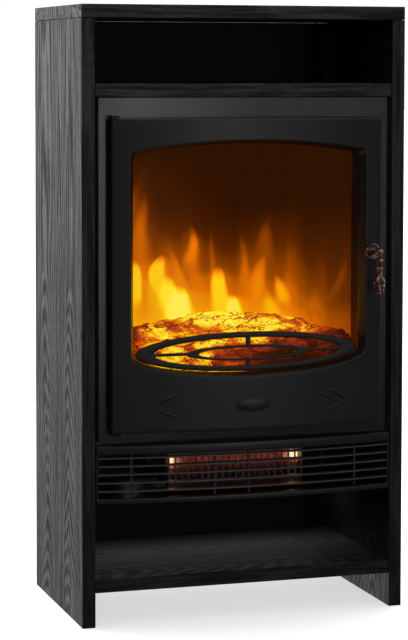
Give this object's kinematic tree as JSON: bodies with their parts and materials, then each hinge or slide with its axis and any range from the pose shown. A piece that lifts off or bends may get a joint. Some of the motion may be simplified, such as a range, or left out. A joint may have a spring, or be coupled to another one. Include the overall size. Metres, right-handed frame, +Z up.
{
  "type": "electric fireplace",
  "caption": "Tall wood-effect cabinet with a niche, an electric stove insert with bowed door, fret, louvred warm air outlet, and a log bay.",
  "frame": {"origin": "on the floor, below the middle of the whole object's box, handle included", "axes": "+X to the viewer's right, +Y to the back, +Z up; the door faces -Y"},
  "size_m": [0.55, 0.3806, 1],
  "materials": {
    "black_ash": "black ash effect foil with an embossed vertical grain, satin",
    "hardboard": "black lacquered thin board, matt",
    "case_steel": "plain galvanised sheet",
    "black_metal": "fine matt black powder coat",
    "grille_black": "semi-matt black paint",
    "fret_iron": "matt black cast surface",
    "screen": "translucent screen with a moving flame picture",
    "embers": "translucent moulded resin, lit from below",
    "board_green": "green circuit board",
    "foil": "bright reflecting foil",
    "steel": "zinc plated",
    "mesh": "heat-tinted copper colour",
    "element": "ceramic heating block with aluminium fins",
    "black_plastic": "fine-grained moulded black plastic",
    "glass": "clear flat glass",
    "copper": "antique copper, polished on the high spots"
  },
  "bodies": {
    "root": {"top_panel": "black_ash", "left_side_panel": "black_ash", "right_side_panel": "black_ash", "upper_shelf": "black_ash", "bottom_shelf": "black_ash", "niche_back_panel": "hardboard", "bay_back_panel": "hardboard", "left_support_rail": "case_steel", "right_support_rail": "case_steel", "insert_case": "case_steel", "spindle_bracket": "case_steel", "heater_duct": "case_steel", "thermal_cutout": "case_steel", "thermostat": "case_steel", "front_frame": "black_metal", "firebox_liner": "black_metal", "inner_floor": "black_metal", "flame_mask": "black_metal", "control_panel": "black_metal", "upper_hinge_tab": "black_metal", "lower_hinge_tab": "black_metal", "grille_frame": "grille_black", "grille_blade_1": "grille_black", "grille_blade_2": "grille_black", "grille_blade_3": "grille_black", "grille_blade_4": "grille_black", "grille_blade_5": "grille_black", "flame_screen": "screen", "fuel_bed": "embers", "ember_lamp_board": "board_green", "flame_lamp_board": "board_green", "control_board": "board_green", "spindle_motor": "steel", "fan_motor": "steel", "upper_hinge_pin": "steel", "lower_hinge_pin": "steel", "outlet_mesh": "mesh", "heating_element": "element", "fan_housing": "black_plastic", "switch_bank": "black_plastic", "magnet_catch": "black_plastic", "cable_gland": "black_plastic"},
    "door": {"door_panel": "black_metal", "door_fret": "fret_iron", "door_glass": "glass", "left_glass_clip": "steel", "right_glass_clip": "steel", "strike_plate": "steel", "handle_rosette": "copper", "handle_post": "copper", "pull_pin": "copper"},
    "pull": {"handle_pull": "copper"},
    "knob": {"thermostat_knob": "black_plastic"},
    "power_rocker": {"power_switch": "black_plastic"},
    "flame_rocker": {"flame_switch": "black_plastic"},
    "low_heat_rocker": {"low_heat_switch": "black_plastic"},
    "high_heat_rocker": {"high_heat_switch": "black_plastic"},
    "rotor": {"fan_rotor": "black_plastic"},
    "spindle": {"flame_spindle": "foil"}
  },
  "joints": [
    {"name": "door_hinge", "type": "hinge", "parent": "root", "child": "door", "pos_m": [-0.222, -0.14664, 0.567], "axis": [0, 0, -1], "range_deg": [0, 110]},
    {"name": "pull_swing", "type": "hinge", "parent": "door", "child": "pull", "pos_m": [0.2144, -0.17986, 0.599], "axis": [-0.9872, -0.1592, 0], "range_deg": [-8, 95]},
    {"name": "thermostat_turn", "type": "hinge", "parent": "root", "child": "knob", "pos_m": [0.085, -0.12634, 0.359], "axis": [0, 1, 0], "range_deg": [0, 270]},
    {"name": "power_switch_rock", "type": "hinge", "parent": "root", "child": "power_rocker", "pos_m": [-0.09, -0.12264, 0.359], "axis": [-1, 0, 0], "range_deg": [0, 14]},
    {"name": "flame_switch_rock", "type": "hinge", "parent": "root", "child": "flame_rocker", "pos_m": [-0.055, -0.12264, 0.359], "axis": [-1, 0, 0], "range_deg": [0, 14]},
    {"name": "low_heat_switch_rock", "type": "hinge", "parent": "root", "child": "low_heat_rocker", "pos_m": [-0.02, -0.12264, 0.359], "axis": [-1, 0, 0], "range_deg": [0, 14]},
    {"name": "high_heat_switch_rock", "type": "hinge", "parent": "root", "child": "high_heat_rocker", "pos_m": [0.015, -0.12264, 0.359], "axis": [-1, 0, 0], "range_deg": [0, 14]},
    {"name": "fan_spin", "type": "hinge", "parent": "root", "child": "rotor", "pos_m": [0, 0.01536, 0.262], "axis": [1, 0, 0], "continuous": true},
    {"name": "spindle_spin", "type": "hinge", "parent": "root", "child": "spindle", "pos_m": [0, 0.01536, 0.428], "axis": [1, 0, 0], "continuous": true}
  ]
}
